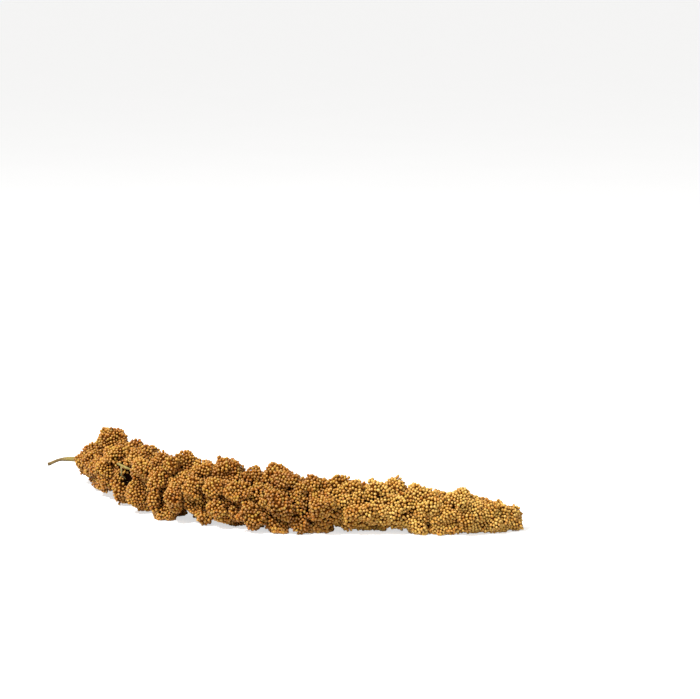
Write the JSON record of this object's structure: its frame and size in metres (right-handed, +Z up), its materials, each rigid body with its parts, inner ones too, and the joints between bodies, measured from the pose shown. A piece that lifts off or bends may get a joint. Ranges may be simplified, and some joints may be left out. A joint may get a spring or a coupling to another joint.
{
  "type": "millet seed head",
  "caption": "Dried foxtail millet head lying on its side: a bowed spray of crowded seed lobes, blunt at the tip, with a short bare cut stalk.",
  "frame": {"origin": "middle of the head's box, on the surface that it lies on", "axes": "+X from the cut end of the stalk to the tip, +Z up; the head bows towards -Y"},
  "size_m": [0.3112, 0.0834, 0.0396],
  "materials": {
    "seeds": "hard dry grains, golden to orange brown, satin with small highlights, dark red brown between them",
    "stem": "dry stalk, olive straw, matte and ribbed lengthwise"
  },
  "bodies": {
    "root": {"seed_head": "seeds", "stem": "stem"}
  },
  "joints": []
}
